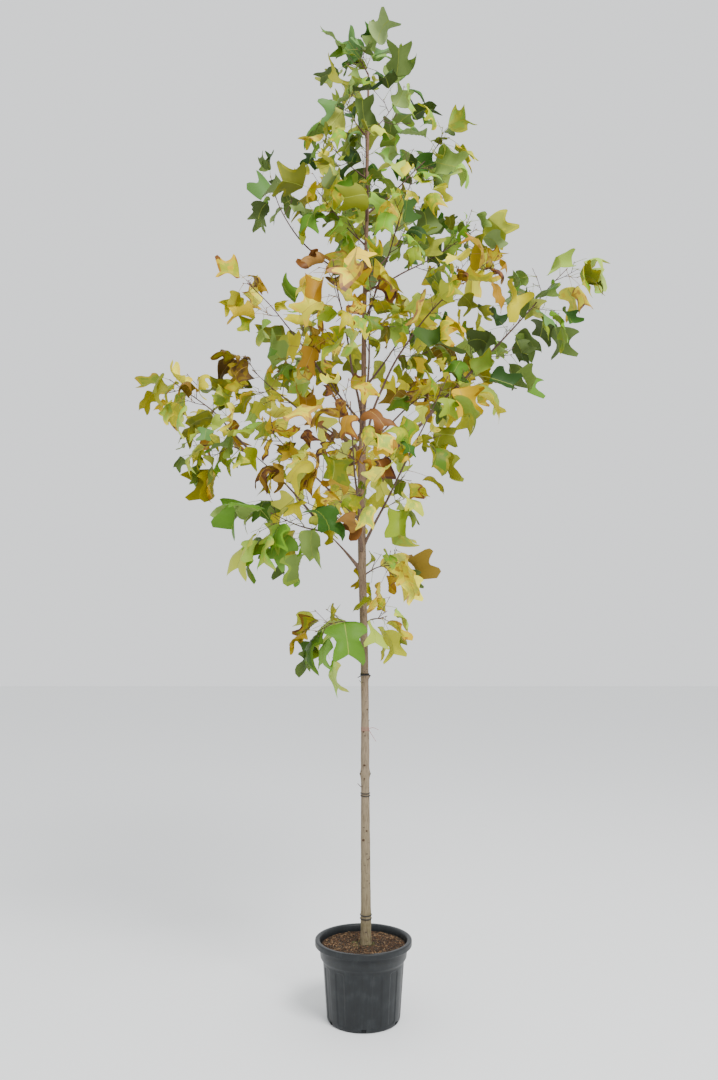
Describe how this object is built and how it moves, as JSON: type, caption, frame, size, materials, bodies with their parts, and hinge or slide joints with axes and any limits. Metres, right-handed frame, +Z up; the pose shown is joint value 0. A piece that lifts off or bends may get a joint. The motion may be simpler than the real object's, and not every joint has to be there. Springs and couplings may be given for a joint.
{
  "type": "potted tulip tree",
  "caption": "Young tulip tree with a straight slim trunk and an open crown of lobed autumn leaves, growing in a round nursery pot filled with bark soil.",
  "frame": {"origin": "centre of the pot's flat underside, on the ground", "axes": "+Z up along the trunk, +X towards the longest bough, +Y to the back of the crown"},
  "size_m": [2.469, 1.8565, 4.873],
  "materials": {
    "moulded_plastic": "matte",
    "bark_soil": "matte",
    "rubber_band": "matte",
    "bark": "matte",
    "young_bark": "matte",
    "autumn_leaves": "satin"
  },
  "bodies": {
    "root": {"pot": "moulded_plastic", "soil": "bark_soil", "trunk": "bark", "tie_low": "rubber_band", "tie_middle": "rubber_band", "tie_high": "rubber_band", "bough_back_left": "young_bark", "bough_back_low": "young_bark", "bough_back_right": "young_bark", "bough_front_high": "young_bark", "bough_front_low": "young_bark", "bough_front_middle": "young_bark", "bough_leader_second": "young_bark", "bough_left_back": "young_bark", "bough_left_gold": "young_bark", "bough_left_high": "young_bark", "bough_left_long": "young_bark", "bough_left_long_foot": "young_bark", "bough_left_upright": "young_bark", "bough_right_back_high": "young_bark", "bough_right_fork": "young_bark", "bough_right_front": "young_bark", "bough_right_high": "young_bark", "bough_right_long": "young_bark", "bough_right_top": "young_bark", "bough_right_upright": "young_bark", "leaves_back_left": "autumn_leaves", "leaves_back_low": "autumn_leaves", "leaves_back_right": "autumn_leaves", "leaves_back_top": "autumn_leaves", "leaves_front_high": "autumn_leaves", "leaves_front_low": "autumn_leaves", "leaves_front_middle": "autumn_leaves", "leaves_front_top": "autumn_leaves", "leaves_leader_second": "autumn_leaves", "leaves_left_back": "autumn_leaves", "leaves_left_gold": "autumn_leaves", "leaves_left_hanging": "autumn_leaves", "leaves_left_high": "autumn_leaves", "leaves_left_inner": "autumn_leaves", "leaves_left_middle": "autumn_leaves", "leaves_left_outer": "autumn_leaves", "leaves_left_skirt": "autumn_leaves", "leaves_left_spur": "autumn_leaves", "leaves_left_tip": "autumn_leaves", "leaves_left_top": "autumn_leaves", "leaves_left_upright": "autumn_leaves", "leaves_right_back_high": "autumn_leaves", "leaves_right_fork": "autumn_leaves", "leaves_right_front": "autumn_leaves", "leaves_right_high": "autumn_leaves", "leaves_right_long": "autumn_leaves", "leaves_right_low": "autumn_leaves", "leaves_right_skirt": "autumn_leaves", "leaves_right_tip": "autumn_leaves", "leaves_right_top": "autumn_leaves", "leaves_right_upright": "autumn_leaves", "leaves_top": "autumn_leaves"}
  },
  "joints": []
}
